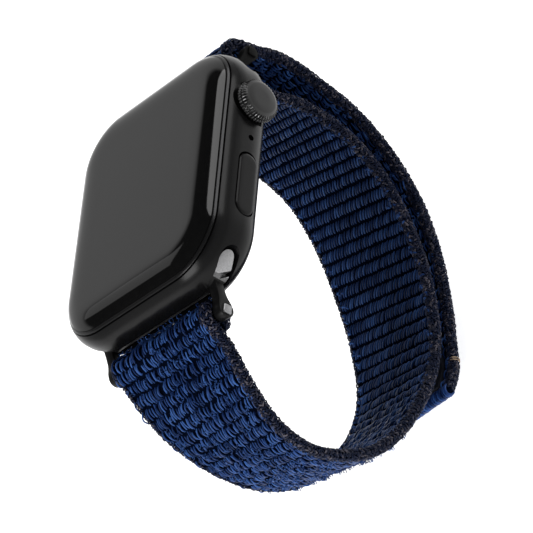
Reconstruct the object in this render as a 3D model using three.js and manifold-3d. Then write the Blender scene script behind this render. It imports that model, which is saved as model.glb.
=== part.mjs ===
// Wrist-worn fitness tracker: a rounded square watch case, and a woven hook-and-loop band
// that hangs from two D-shaped connectors in slots at the case's ends.
// Millimetres. The origin is the centre of the back crystal's wrist face, +Z points out of
// the display, +Y to twelve o'clock and +X to the crown.
import * as THREE from 'three';
import { mergeVertices } from 'three/addons/utils/BufferGeometryUtils.js';
import Module from 'manifold-3d';

const wasm = await Module();
wasm.setup();

// ---------------------------------------------------------------- driving dimensions
const CASE = { halfX: 19, halfY: 22, corner: 9.8, topZ: 9.45, wallLowZ: 5.3, wallHighZ: 6.9, edge: 4.4 };
const CAVITY = { halfX: 16.9, halfY: 15.4, corner: 4, floorZ: 2.2, ledgeZ: 7.9, ledgeInset: 2.6 };
const BACK = { half: 12.8, corner: 6, lowZ: 0.9, highZ: 2.1, lensR: 9, clearance: 0.3 };
const SIDE_Z = 5.3;
const CROWN = { y: 9.7, knobR: 3.5, faceR: 2.95, shaftR: 0.9, baseX: 19, faceX: 20.9, teeth: 60 };
const BUTTON = { y: -5.8, halfLength: 5.7, halfWidth: 1.75, lowX: 17.7, faceX: 19.1, edge: 0.25, gap: 0.2 };
const MICROPHONE = { y: 3, half: 1, holeR: 0.5 };
const SPEAKER_SLOT = { ys: [4.8, 9.2], halfLength: 1.7, halfWidth: 0.45 };
const STACK = { sensorLow: 1.9, sensorHigh: 2.3, sensorBoard: [2.5, 3.1], battery: [3.4, 6],
  logicBoard: [6.95, 7.6], seal: [7.95, 9.05], display: [9.15, 10.05], bezel: [9.6, 10] };
const SLOT = { y: 19.4, z: 5.2, tilt: 26, halfLength: 2.5, radius: 1.45, mouth: 0.95, gap: 0.3 };
const BAR = { y: 24.7, z: 2.6, radius: 0.75, eyeR: 1.7, halfSpan: 13.4 };
const ARM = { innerX: 11.8, outerX: 13.4, neck: 0.62, neckEnd: 3.3, flareStart: 4.5, flare: 1.25 };
const LATCH = { y: 17.9, pinR: 0.45, lowZ: 4.65, highZ: 5.4, pocketZ: 6.15 };
const RELEASE = { halfLength: 1.95, halfWidth: 0.75, faceZ: 1.15, backZ: 2.3, stemR: 0.35, tipZ: 4.05 };
const STRAP = { halfWidth: 11.5, thick: 1.9, barGap: 0.15, bodySteps: 80, tailSteps: 56 };
const HOOK = { thick: 0.6, gap: 0.2, from: 0.66, to: 0.97 };
const BINDING = { thick: 2.4, length: 1.5, gap: 0.3 };
const ROUND = { wideFrom: 2.8, wide: 40, narrow: 16 };

// ---------------------------------------------------------------- colours
const COLOURS = {
  blackMetal: { color: 0x17181a, roughness: 0.42, metalness: 0.85 },
  bezelMetal: { color: 0x2a2b2d, roughness: 0.3, metalness: 0.9 },
  darkGlass: { color: 0x3a3b3d, roughness: 0.12, metalness: 0.0 },
  blackGlass: { color: 0x08090a, roughness: 0.08, metalness: 0.0 },
  blackPlastic: { color: 0x121315, roughness: 0.6, metalness: 0.0 },
  blackRubber: { color: 0x0d0d0e, roughness: 0.85, metalness: 0.0 },
  steel: { color: 0x9a9c9f, roughness: 0.35, metalness: 1.0 },
  board: { color: 0x14351f, roughness: 0.6, metalness: 0.1 },
  foil: { color: 0x2c2d31, roughness: 0.5, metalness: 0.2 },
  copper: { color: 0xa8683a, roughness: 0.4, metalness: 1.0 },
  navyCloth: { color: 0x182a5c, roughness: 0.95, metalness: 0.0 },
  hookTape: { color: 0x0c0d12, roughness: 0.9, metalness: 0.0 },
};

const watch = new THREE.Group();

function addPiece(name, geometry, look) {
  geometry.computeVertexNormals();
  const mesh = new THREE.Mesh(geometry, new THREE.MeshStandardMaterial(COLOURS[look]));
  mesh.name = name;
  watch.add(mesh);
}

// ---------------------------------------------------------------- solids and booleans
function toSolid(geometry) {
  const plain = geometry.clone();
  plain.deleteAttribute('normal');
  plain.deleteAttribute('uv');
  const merged = mergeVertices(plain, 1e-5);
  return new wasm.Manifold(new wasm.Mesh({
    numProp: 3,
    vertProperties: new Float32Array(merged.attributes.position.array),
    triVerts: new Uint32Array(merged.index.array),
  }));
}

function toGeometry(solid) {
  const mesh = solid.getMesh();
  const geometry = new THREE.BufferGeometry();
  geometry.setAttribute('position', new THREE.BufferAttribute(mesh.vertProperties, 3));
  geometry.setIndex(new THREE.BufferAttribute(mesh.triVerts, 1));
  return geometry;
}

function cut(geometry, ...tools) {
  return toGeometry(tools.reduce((solid, tool) => solid.subtract(toSolid(tool)), toSolid(geometry)));
}

function join(geometry, ...others) {
  return toGeometry(others.reduce((solid, other) => solid.add(toSolid(other)), toSolid(geometry)));
}

// ---------------------------------------------------------------- basic shapes
function box(lowX, highX, lowY, highY, lowZ, highZ) {
  const geometry = new THREE.BoxGeometry(highX - lowX, highY - lowY, highZ - lowZ);
  return geometry.translate((lowX + highX) / 2, (lowY + highY) / 2, (lowZ + highZ) / 2);
}

function roundedRect(halfX, halfY, radius, ShapeClass = THREE.Shape) {
  const shape = new ShapeClass();
  const x = halfX - radius;
  const y = halfY - radius;
  shape.absarc(x, y, radius, 0, Math.PI / 2);
  shape.absarc(-x, y, radius, Math.PI / 2, Math.PI);
  shape.absarc(-x, -y, radius, Math.PI, 1.5 * Math.PI);
  shape.absarc(x, -y, radius, 1.5 * Math.PI, 2 * Math.PI);
  return shape;
}

// A prism of a plan outline, from lowZ to highZ.
function slab(shape, lowZ, highZ, curveSegments = 8) {
  const options = { depth: highZ - lowZ, bevelEnabled: false, curveSegments };
  return new THREE.ExtrudeGeometry(shape, options).translate(0, 0, lowZ);
}

function plate(halfX, halfY, radius, lowZ, highZ) {
  return slab(roundedRect(halfX, halfY, radius), lowZ, highZ);
}

// The geometry's own X, Y and Z become the world's Y, Z and X.
function turnToX(geometry) {
  const basis = new THREE.Matrix4().makeBasis(
    new THREE.Vector3(0, 1, 0), new THREE.Vector3(0, 0, 1), new THREE.Vector3(1, 0, 0));
  return geometry.applyMatrix4(basis);
}

// A prism of an outline drawn in Y and Z, from lowX to highX.
function prismX(shape, lowX, highX, curveSegments = 8) {
  const options = { depth: highX - lowX, bevelEnabled: false, curveSegments };
  return turnToX(new THREE.ExtrudeGeometry(shape, options)).translate(lowX, 0, 0);
}

// A lathe about Z; profile pairs are [radius, z], from the bottom round to the top.
function lathe(profile) {
  const widest = Math.max(...profile.map(([radius]) => radius));
  const segments = widest > ROUND.wideFrom ? ROUND.wide : ROUND.narrow;
  const points = profile.map(([radius, z]) => new THREE.Vector2(radius, z));
  return new THREE.LatheGeometry(points, segments).rotateX(Math.PI / 2);
}

function rod(radius, lowZ, highZ) {
  return lathe([[0, lowZ], [radius, lowZ], [radius, highZ], [0, highZ]]);
}

function ring(inner, outer, lowZ, highZ) {
  return lathe([[inner, lowZ], [outer, lowZ], [outer, highZ], [inner, highZ], [inner, lowZ]]);
}

// The same turned pieces about an axis along X through (y, z).
function alongX(geometry, y, z) {
  return turnToX(geometry).translate(0, y, z);
}

// A slot with round ends: half length along the outline's X, half width along its Y.
function stadium(halfLength, halfWidth) {
  const shape = new THREE.Shape();
  const straight = halfLength - halfWidth;
  shape.absarc(straight, 0, halfWidth, -Math.PI / 2, Math.PI / 2);
  shape.absarc(-straight, 0, halfWidth, Math.PI / 2, 1.5 * Math.PI);
  return shape;
}

// ---------------------------------------------------------------- the rounded case shape
// How far the outline lies inside the widest one at a height.
function pebbleInset(z) {
  const beyond = Math.max(CASE.wallLowZ - z, z - CASE.wallHighZ, 0);
  return CASE.edge - Math.sqrt(CASE.edge ** 2 - beyond ** 2);
}

function ringPoints(inset, z, perCorner = 9) {
  const radius = CASE.corner - inset;
  const points = [];
  [[1, 1], [-1, 1], [-1, -1], [1, -1]].forEach(([signX, signY], corner) => {
    for (let k = 0; k < perCorner; k += 1) {
      const angle = (corner + k / (perCorner - 1)) * Math.PI / 2;
      const x = signX * (CASE.halfX - CASE.corner) + radius * Math.cos(angle);
      const y = signY * (CASE.halfY - CASE.corner) + radius * Math.sin(angle);
      points.push(new THREE.Vector3(x, y, z));
    }
  });
  return points;
}

// Skins a stack of equal-sized rings and closes both ends.
function skin(rings) {
  const size = rings[0].length;
  const last = (rings.length - 1) * size;
  const index = [];
  for (let level = 0; level < rings.length - 1; level += 1) {
    for (let k = 0; k < size; k += 1) {
      const a = level * size + k;
      const b = level * size + (k + 1) % size;
      index.push(a, b, b + size, a, b + size, a + size);
    }
  }
  for (let k = 1; k < size - 1; k += 1) {
    index.push(0, k + 1, k, last, last + k, last + k + 1);
  }
  const points = rings.flat();
  const geometry = new THREE.BufferGeometry().setFromPoints(points);
  geometry.setAttribute('uv', new THREE.Float32BufferAttribute(new Float32Array(points.length * 2), 2));
  geometry.setIndex(index);
  geometry.computeVertexNormals();
  return geometry;
}

function pebble(levels) {
  return skin(levels.map((z) => ringPoints(pebbleInset(z), z)));
}

// ---------------------------------------------------------------- band slots in the case
// Lays an outline drawn along the slot's axis into the lower end (-Y), pointing out and down.
function layInSlot(geometry) {
  const turn = new THREE.Matrix4().makeRotationX(SLOT.tilt * Math.PI / 180);
  return geometry.applyMatrix4(turn).translate(0, -SLOT.y, SLOT.z);
}

function halfTurn(geometry) {
  return geometry.rotateZ(Math.PI);
}

function bandSlot() {
  const channel = prismX(stadium(SLOT.halfLength, SLOT.radius), -CASE.halfX - 1, CASE.halfX + 1);
  const mouth = box(-CASE.halfX - 1, CASE.halfX + 1, -6, -1, -SLOT.mouth, SLOT.mouth);
  return layInSlot(join(channel, mouth));
}

// The release button's pocket in the back, and the pusher's way up into the slot.
function releasePocket() {
  const gap = 0.2;
  const pocket = slab(stadium(RELEASE.halfLength + gap, RELEASE.halfWidth + gap), 0, RELEASE.backZ + 0.7);
  return join(pocket, rod(RELEASE.stemR + 0.15, RELEASE.backZ, SLOT.z)).translate(0, -LATCH.y, 0);
}

// ---------------------------------------------------------------- case and its glass
function caseBody() {
  const levels = [1.2, 1.6, 2.2, 3, 4.1, 5.3, 6.9, 7.9, 8.7, CASE.topZ];
  const cavity = plate(CAVITY.halfX, CAVITY.halfY, CAVITY.corner, CAVITY.floorZ, CASE.topZ + 1);
  const ledge = skin([CAVITY.ledgeZ, CASE.topZ + 1].map((z) => ringPoints(CAVITY.ledgeInset, z)));
  const half = BACK.half + BACK.clearance;
  const backOpening = plate(half, half, BACK.corner, 0, CAVITY.floorZ + 1);
  const crownBore = alongX(rod(2.05, CAVITY.halfX - 1, CASE.halfX + 1), CROWN.y, SIDE_Z);
  const crownRecess = alongX(rod(3.75, 18.4, CASE.halfX + 1), CROWN.y, SIDE_Z);
  const pocketOutline = stadium(BUTTON.halfLength + BUTTON.gap, BUTTON.halfWidth + BUTTON.gap);
  const buttonPocket = prismX(pocketOutline, BUTTON.lowX - 2 * BUTTON.gap, CASE.halfX + 1);
  const plungerHole = alongX(rod(0.8, CAVITY.halfX - 1, BUTTON.lowX), BUTTON.y, SIDE_Z);
  const soundHole = rod(MICROPHONE.holeR, CAVITY.halfX - 1, CASE.halfX + 1);
  const speakerSlots = SPEAKER_SLOT.ys.map((y) => {
    const outline = stadium(SPEAKER_SLOT.halfLength, SPEAKER_SLOT.halfWidth);
    return prismX(outline, -CASE.halfX - 1, -CAVITY.halfX + 1).translate(0, y, SIDE_Z);
  });
  return cut(pebble(levels), cavity, ledge, backOpening, crownBore, crownRecess,
    buttonPocket.translate(0, BUTTON.y, SIDE_Z), plungerHole, alongX(soundHole, MICROPHONE.y, SIDE_Z),
    ...speakerSlots, bandSlot(), halfTurn(bandSlot()), releasePocket(), halfTurn(releasePocket()));
}

function bezelRing() {
  const outer = pebble(STACK.bezel);
  const inner = skin([9, 11].map((z) => ringPoints(3.2, z)));
  return cut(outer, inner);
}

// The cover glass bends down to the bezel and is nearly flat over the display.
function crystal() {
  const domeInsets = [[3.9, 11.3], [6.5, 11.48]];
  const edge = [10.15, 10.5, 10.85, 11.1].map((z) => ringPoints(pebbleInset(z), z));
  return skin([...edge, ...domeInsets.map(([inset, z]) => ringPoints(inset, z))]);
}

function insetPlate(inset, [lowZ, highZ]) {
  return skin([lowZ, highZ].map((z) => ringPoints(inset, z)));
}

function addCase() {
  addPiece('case_body', caseBody(), 'blackMetal');
  addPiece('bezel_ring', bezelRing(), 'bezelMetal');
  addPiece('crystal', crystal(), 'darkGlass');
  addPiece('display_panel', insetPlate(3.7, STACK.display), 'blackGlass');
  addPiece('display_seal', cut(insetPlate(2.85, STACK.seal), insetPlate(4.4, [7, 10])), 'blackRubber');
  const lensHole = new THREE.Path().absarc(0, 0, BACK.lensR + 0.2, 0, 2 * Math.PI);
  const coverShape = roundedRect(BACK.half, BACK.half, BACK.corner);
  coverShape.holes.push(lensHole);
  addPiece('back_cover', slab(coverShape, BACK.lowZ, BACK.highZ, 12), 'blackGlass');
  addPiece('sensor_crystal', lathe([[0, 0], [5.5, 0], [7.5, 0.2], [8.6, 0.6], [BACK.lensR, 1.1],
    [BACK.lensR, 1.7], [0, 1.7]]), 'blackGlass');
}

// ---------------------------------------------------------------- what the case holds
function ledCross(halfLength, halfWidth) {
  const bar = (halfX, halfY) => box(-halfX, halfX, -halfY, halfY, STACK.sensorLow, STACK.sensorHigh);
  return join(bar(halfLength, halfWidth), bar(halfWidth, halfLength));
}

function addInsides() {
  addPiece('sensor_board', rod(8.6, ...STACK.sensorBoard), 'board');
  addPiece('led_cluster', ledCross(2.4, 0.8), 'steel');
  addPiece('photodiode_ring', ring(3.2, 4.8, STACK.sensorLow, STACK.sensorHigh), 'blackPlastic');
  addPiece('charging_coil', ring(5.4, 8.2, STACK.sensorLow, STACK.sensorHigh), 'copper');
  addPiece('battery', plate(8.2, 14.7, 1.2, ...STACK.battery).translate(-3.6, 0, 0), 'foil');
  addPiece('logic_board', plate(12.2, 15, 3.9, ...STACK.logicBoard).translate(-4, 0, 0), 'board');
  addPiece('processor_package', box(-8, 2, -6, 4, 6.2, 6.85), 'blackPlastic');
  addPiece('display_flex', box(-7, -2, 14, 14.3, 7.7, 9.05), 'copper');
  addPiece('haptic_motor', plate(2.1, 6.4, 0.8, 2.7, 6.5).translate(-14.4, -6, 0), 'steel');
  addPiece('speaker', box(-16.6, -12.3, 2.5, 11.5, 2.7, 6.5), 'blackPlastic');
  const { y, half } = MICROPHONE;
  addPiece('microphone', box(15.2, 16.7, y - half, y + half, SIDE_Z - half, SIDE_Z + half), 'steel');
}

// ---------------------------------------------------------------- digital crown
function knurledKnob() {
  const outline = new THREE.Shape();
  for (let k = 0; k < CROWN.teeth * 2; k += 1) {
    const angle = (k / CROWN.teeth) * Math.PI;
    const radius = CROWN.knobR - (k % 2) * 0.14;
    outline[k ? 'lineTo' : 'moveTo'](radius * Math.cos(angle), radius * Math.sin(angle));
  }
  const knurl = prismX(outline, CROWN.baseX, CROWN.faceX - 0.35, 1);
  const body = turnToX(lathe([[0, CROWN.baseX + 0.1], [3.2, CROWN.baseX + 0.1], [3.2, CROWN.faceX - 0.25],
    [CROWN.faceR, CROWN.faceX], [0, CROWN.faceX]]));
  return join(knurl, body).translate(0, CROWN.y, SIDE_Z);
}

function addCrown() {
  const onAxis = (geometry) => alongX(geometry, CROWN.y, SIDE_Z);
  const around = CROWN.shaftR + 0.1;
  addPiece('crown_knob', knurledKnob(), 'blackMetal');
  addPiece('crown_shaft', onAxis(rod(CROWN.shaftR, 11, CROWN.baseX - 0.05)), 'steel');
  addPiece('crown_collar', onAxis(lathe([[around, 15.3], [2.6, 15.3], [2.6, 16.5], [2, 16.5], [2, 18.3],
    [around, 18.3], [around, 15.3]])), 'steel');
  addPiece('crown_seal', onAxis(ring(around, 1.7, 14.4, 15)), 'blackRubber');
  addPiece('encoder_disc', onAxis(ring(around - 0.05, 1.9, 13.2, 13.6)), 'steel');
  addPiece('encoder_sensor', box(12.7, 14.2, CROWN.y - 1, CROWN.y + 1, 2.5, 3.1), 'blackPlastic');
  addPiece('crown_sleeve', onAxis(ring(around, 1.8, 11.6, 12.6)), 'steel');
  addPiece('crown_switch', box(9.2, 10.5, CROWN.y - 1.2, CROWN.y + 1.2, 4.1, 6.5), 'steel');
  addPiece('crown_bracket', box(8.4, 9.1, CROWN.y - 2.4, CROWN.y + 2.4, 3.4, 6.7), 'steel');
}

// ---------------------------------------------------------------- side button
function sideButtonCap() {
  const { lowX, faceX, edge } = BUTTON;
  const cap = new THREE.ExtrudeGeometry(stadium(BUTTON.halfLength, BUTTON.halfWidth), {
    depth: faceX - lowX - 2 * edge, curveSegments: 8,
    bevelThickness: edge, bevelSize: edge, bevelOffset: -edge, bevelSegments: 2 });
  return turnToX(cap).translate(lowX + edge, BUTTON.y, SIDE_Z);
}

function addSideButton() {
  const onAxis = (geometry) => alongX(geometry, BUTTON.y, SIDE_Z);
  addPiece('side_button_cap', sideButtonCap(), 'blackMetal');
  const flange = [[0.6, 15.5], [1.4, 15.5], [1.4, 16.1], [0.6, 16.1]];
  const plunger = lathe([[0, 14.3], [0.6, 14.3], ...flange, [0.6, 17.6], [0, 17.6]]);
  addPiece('side_button_plunger', onAxis(plunger), 'steel');
  addPiece('side_button_switch', box(12.8, 13.9, BUTTON.y - 1.6, BUTTON.y + 1.6, 4.2, 6.4), 'steel');
  addPiece('side_button_bracket', box(12, 12.7, BUTTON.y - 4, BUTTON.y + 4, 3.4, 6.6), 'steel');
}

// ---------------------------------------------------------------- connectors, bars and latches
// Thin where it leaves the slot's mouth, and wide at the bar.
function armOutline() {
  const reach = Math.hypot(BAR.y - SLOT.y, BAR.z - SLOT.z);
  const half = [[-reach, ARM.flare], [-ARM.flareStart, ARM.flare], [-ARM.neckEnd, ARM.neck],
    [-1, ARM.neck]];
  const mirrored = half.map(([along, across]) => [along, -across]).reverse();
  return new THREE.Shape([...half, ...mirrored].map((pair) => new THREE.Vector2(...pair)));
}

function barEye(radius) {
  return alongX(rod(radius, ARM.innerX, ARM.outerX), -BAR.y, BAR.z);
}

// The slot filler's ends are trimmed flush with the case's rounded corners.
function connectorPill() {
  const outline = stadium(SLOT.halfLength - SLOT.gap, SLOT.radius - SLOT.gap);
  const pill = layInSlot(prismX(outline, -CASE.halfX, CASE.halfX));
  const corners = skin([0, CASE.topZ].map((z) => ringPoints(0.4, z)));
  return toGeometry(toSolid(pill).intersect(toSolid(corners)));
}

function connectorBody() {
  const pill = connectorPill();
  const arms = [0, -ARM.innerX - ARM.outerX].flatMap((shift) => [
    layInSlot(prismX(armOutline(), ARM.innerX, ARM.outerX)).translate(shift, 0, 0),
    barEye(BAR.eyeR).translate(shift, 0, 0),
  ]);
  const barHoles = [0, -ARM.innerX - ARM.outerX].map((shift) => (
    alongX(rod(BAR.radius + 0.1, ARM.innerX - 1, ARM.outerX + 1), -BAR.y, BAR.z).translate(shift, 0, 0)));
  const latchHole = rod(LATCH.pinR + 0.1, SLOT.z - 2, LATCH.pocketZ).translate(0, -LATCH.y, 0);
  return cut(join(pill, ...arms), ...barHoles, latchHole);
}

// A turned bar with a blind hole in each end for its screw.
function strapBar() {
  const end = BAR.halfSpan - 0.05;
  const holeR = 0.45;
  const holeEnd = end - 2.4;
  const leftEnd = [[0, -holeEnd], [holeR, -holeEnd], [holeR, -end], [BAR.radius, -end]];
  const rightEnd = leftEnd.map(([radius, x]) => [radius, -x]).reverse();
  return alongX(lathe([...leftEnd, ...rightEnd]), -BAR.y, BAR.z);
}

function barScrew() {
  const head = BAR.halfSpan + 0.1;
  const screw = lathe([[0, head - 2], [0.35, head - 2], [0.35, head], [1.15, head], [1.15, head + 0.3],
    [0.95, head + 0.5], [0, head + 0.5]]);
  return cut(alongX(screw, -BAR.y, BAR.z),
    box(head + 0.25, head + 1, -BAR.y - 2, -BAR.y + 2, BAR.z - 0.15, BAR.z + 0.15));
}

function releaseButton() {
  const pad = slab(stadium(RELEASE.halfLength, RELEASE.halfWidth), RELEASE.faceZ, RELEASE.backZ);
  return join(pad, rod(RELEASE.stemR, RELEASE.faceZ + 0.5, RELEASE.tipZ)).translate(0, -LATCH.y, 0);
}

function addEnd(side) {
  const place = side === 'upper' ? halfTurn : (geometry) => geometry;
  const piece = (name, geometry, look) => addPiece(`${side}_${name}`, place(geometry), look);
  const onLatch = (geometry) => geometry.translate(0, -LATCH.y, 0);
  piece('connector', connectorBody(), 'blackMetal');
  piece('bar', strapBar(), 'steel');
  piece('bar_screw_a', barScrew(), 'steel');
  piece('bar_screw_b', barScrew().rotateY(Math.PI).translate(0, 0, 2 * BAR.z), 'steel');
  piece('latch', onLatch(rod(LATCH.pinR, LATCH.lowZ, LATCH.highZ)), 'steel');
  piece('latch_spring', onLatch(ring(0.2, 0.42, LATCH.highZ + 0.05, LATCH.pocketZ - 0.05)), 'steel');
  piece('release_button', releaseButton(), 'blackMetal');
  piece('release_spring', onLatch(ring(0.42, 0.7, RELEASE.backZ + 0.05, RELEASE.backZ + 0.65)), 'steel');
}

// ---------------------------------------------------------------- woven band
// The band is a ruled strip: one line of its middle surface on the crown side and one on the
// far side, each a list of [y, z]. The two differ because a worn band twists a little.
const CROWN_SIDE = {
  loop: [[-28.6, -0.4], [-33, -4.6], [-37.4, -10.4], [-39, -17], [-36.9, -24.6], [-30.5, -30.6],
    [-22.3, -35.1], [-13.9, -37.9], [-4, -39.2], [6.1, -37.2], [13.8, -32.2], [19.8, -25.6],
    [22.9, -17.4], [23, -9.4], [21.4, -4]],
  tail: [[28.3, -0.6], [29.7, -4.6], [29.9, -9], [29.2, -14], [28.1, -20], [24.6, -27.6], [18.7, -34.5],
    [11.5, -39.2], [3, -42.3], [-5.6, -44.1], [-11, -44.9], [-16.4, -43.6]],
};
const FAR_SIDE = {
  loop: [[-28.8, -0.6], [-31.3, -5], [-33, -11], [-33.4, -18], [-32.1, -25], [-28.6, -31.8],
    [-22.5, -38], [-15.5, -42.6], [-6.8, -44.3], [2.2, -42.1], [11.7, -37.3], [18.9, -32.3],
    [24.1, -26.2], [26.2, -19], [26.4, -11], [24.9, -4]],
  tail: [[28.3, -0.8], [29.5, -5], [29.8, -10], [29.4, -16], [28.2, -22], [25.8, -28.2], [20.8, -34.6],
    [13.2, -40.2], [3.2, -45.2], [-6, -47.5], [-11.5, -47.2], [-15.9, -45.9]],
};
// Degrees round each bar, from the side towards the upper end: the sewn end of the eye, where the
// strap leaves the bar for the wrist, and the two edges of the fold where the tail can hinge.
const WRAP = { radius: BAR.radius + STRAP.barGap + STRAP.thick / 2, sewnEnd: -135, leave: 165,
  foldLoop: 112, foldTail: 30 };

function wrapPoint(centreY, degrees) {
  const angle = degrees * Math.PI / 180;
  const { radius } = WRAP;
  return new THREE.Vector3(0, centreY + radius * Math.cos(angle), BAR.z + radius * Math.sin(angle));
}

function wrapArc(centreY, fromDegrees, toDegrees, steps) {
  const span = toDegrees - fromDegrees;
  return Array.from({ length: steps + 1 }, (_, k) => wrapPoint(centreY, fromDegrees + span * k / steps));
}

function smooth(points, steps) {
  return new THREE.CatmullRomCurve3(points, false, 'centripetal').getSpacedPoints(steps);
}

function toPoints(pairs) {
  return pairs.map(([y, z]) => new THREE.Vector3(0, y, z));
}

// Square to the line, on its left as it runs: towards the wrist on the loop, away on the tail.
function leftNormal(line, k) {
  const before = line[Math.max(k - 1, 0)];
  const after = line[Math.min(k + 1, line.length - 1)];
  const along = after.clone().sub(before).normalize();
  return new THREE.Vector3(0, -along.z, along.y);
}

// Round the lower bar from the eye's sewn end, round the wrist, and over the upper bar.
function loopLine(side) {
  const through = [wrapPoint(-BAR.y, 180), ...toPoints(side.loop), wrapPoint(BAR.y, 180)];
  return [...wrapArc(-BAR.y, WRAP.sewnEnd, WRAP.leave, 18), ...smooth(through, STRAP.bodySteps),
    ...wrapArc(BAR.y, WRAP.leave, WRAP.foldLoop, 4)];
}

function tailLine(side) {
  const hanging = smooth([wrapPoint(BAR.y, 0), ...toPoints(side.tail)], STRAP.tailSteps);
  return [...wrapArc(BAR.y, WRAP.foldTail, 0, 2), ...hanging.slice(1)];
}

// Lengthens a line past its last point.
function pastEnd(line, distances) {
  const end = line[line.length - 1];
  const along = end.clone().sub(line[line.length - 2]).normalize();
  return distances.map((distance) => end.clone().addScaledVector(along, distance));
}

// A strip between two lines of equal length, at an offset to the left of the middle surface.
function strip(crownLine, farLine, thick, offset = 0) {
  const corners = [];
  crownLine.forEach((point, k) => {
    const sides = [[point, leftNormal(crownLine, k), STRAP.halfWidth],
      [farLine[k], leftNormal(farLine, k), -STRAP.halfWidth]];
    const [nearOuter, nearInner, farOuter, farInner] = sides.flatMap(([base, normal, x]) => (
      [-thick / 2, thick / 2].map((step) => base.clone().addScaledVector(normal, offset + step).setX(x))));
    corners.push([nearOuter, farOuter, farInner, nearInner]);
  });
  return skin(corners);
}

function addBand() {
  const loop = [CROWN_SIDE, FAR_SIDE].map(loopLine);
  const tail = [CROWN_SIDE, FAR_SIDE].map(tailLine);
  const stations = tail[0].length - 1;
  const [hookStart, hookEnd] = [HOOK.from, HOOK.to].map((share) => Math.round(share * stations));
  const hook = tail.map((line) => line.slice(hookStart, hookEnd));
  const hookOffset = -(STRAP.thick + HOOK.thick) / 2 - HOOK.gap;
  const binding = tail.map((line) => pastEnd(line, [BINDING.gap, BINDING.gap + BINDING.length]));
  addPiece('strap_loop', strip(...loop, STRAP.thick), 'navyCloth');
  addPiece('strap_tail', strip(...tail, STRAP.thick), 'navyCloth');
  addPiece('hook_patch', strip(...hook, HOOK.thick, hookOffset), 'hookTape');
  addPiece('tail_binding', strip(...binding, BINDING.thick), 'navyCloth');
}

addCase();
addInsides();
addCrown();
addSideButton();
['lower', 'upper'].forEach(addEnd);
addBand();

export default watch;
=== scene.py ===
import math

import bpy
import numpy as np
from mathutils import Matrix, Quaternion, Vector


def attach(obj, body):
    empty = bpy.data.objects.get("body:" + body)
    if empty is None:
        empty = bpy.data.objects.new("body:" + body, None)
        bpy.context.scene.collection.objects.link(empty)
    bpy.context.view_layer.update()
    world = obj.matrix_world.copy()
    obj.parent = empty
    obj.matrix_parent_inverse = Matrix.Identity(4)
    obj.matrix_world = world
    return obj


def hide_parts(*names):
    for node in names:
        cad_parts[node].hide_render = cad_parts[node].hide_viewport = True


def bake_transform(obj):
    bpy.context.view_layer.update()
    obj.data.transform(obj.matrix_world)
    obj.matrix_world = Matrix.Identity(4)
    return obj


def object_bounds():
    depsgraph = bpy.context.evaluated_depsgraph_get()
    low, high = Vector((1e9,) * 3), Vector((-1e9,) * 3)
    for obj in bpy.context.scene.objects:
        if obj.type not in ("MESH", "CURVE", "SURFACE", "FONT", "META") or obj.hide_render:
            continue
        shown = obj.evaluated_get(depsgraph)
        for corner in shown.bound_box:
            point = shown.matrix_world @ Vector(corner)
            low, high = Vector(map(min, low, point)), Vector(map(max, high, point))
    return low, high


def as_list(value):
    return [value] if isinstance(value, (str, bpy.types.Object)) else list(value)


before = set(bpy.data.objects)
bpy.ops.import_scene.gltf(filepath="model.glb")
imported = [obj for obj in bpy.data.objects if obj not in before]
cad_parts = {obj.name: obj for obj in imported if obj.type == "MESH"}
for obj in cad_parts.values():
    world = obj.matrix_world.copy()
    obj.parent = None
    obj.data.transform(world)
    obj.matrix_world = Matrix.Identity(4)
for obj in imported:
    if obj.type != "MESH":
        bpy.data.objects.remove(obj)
CAD_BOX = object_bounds()
MM = 0.001
RNG = np.random.default_rng(11)

# ---- dimensions, in millimetres
# The case, band slots and bars. The CAD model has no flares, and finer teeth on the crown.
CASE = dict(half_x=19, half_y=22, corner=9.8, low_z=1.2, top_z=9.45, wall_low=5.3, wall_high=6.9, edge=4.4)
CAVITY = dict(half_x=16.9, half_y=15.4, corner=4, floor_z=2.2)
BACK_OPENING = dict(half=13.1, corner=6, top_z=3)
LEDGE = dict(inset=2.6, z=7.9)        # the step under the display
CLEAR_Z = 11                          # above everything that is cut from the top
# Everything on the case's sides is at one height, and its bores open into the cavity.
SIDE_Z = 5.3
HOLES = dict(inner_x=15.9, outer_x=21, recess=3.75, recess_x=18.4, crown_bore=2.05, button_bore=0.8,
             microphone=0.5, microphone_y=3)
SPEAKER = dict(places_y=(4.8, 9.2), half_length=1.7, radius=0.45)
CROWN = dict(y=9.7, base_x=19, face_x=20.9, teeth=42, tooth_depth=0.17, flat_radius=2.62, crest_radius=3.36)
BUTTON = dict(y=-5.8, half_length=5.7, half_width=1.75, low_x=17.7, face_x=19.1, gap=0.2, pocket_x=17.3,
              bore_x=18)
# A slot runs right across the case's end, opens outwards in a narrower mouth, and flares at its ends.
SLOT = dict(y=19.4, z=5.2, tilt=26, half_length=2.5, radius=1.45, reach=22, mouth=0.95, mouth_near=-1.2,
            mouth_far=-6)
FLARE = dict(start_x=12, end_x=20, half_length=2.65, radius=1.75, drop=0.3)
RELEASE = dict(y=17.9, half_length=2.15, half_width=0.95, roof_z=3.0, stem_radius=0.5, stem_z=2)
BAR_Y, BAR_Z, WRAP_RADIUS = 24.7, 2.6, 1.85
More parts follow.
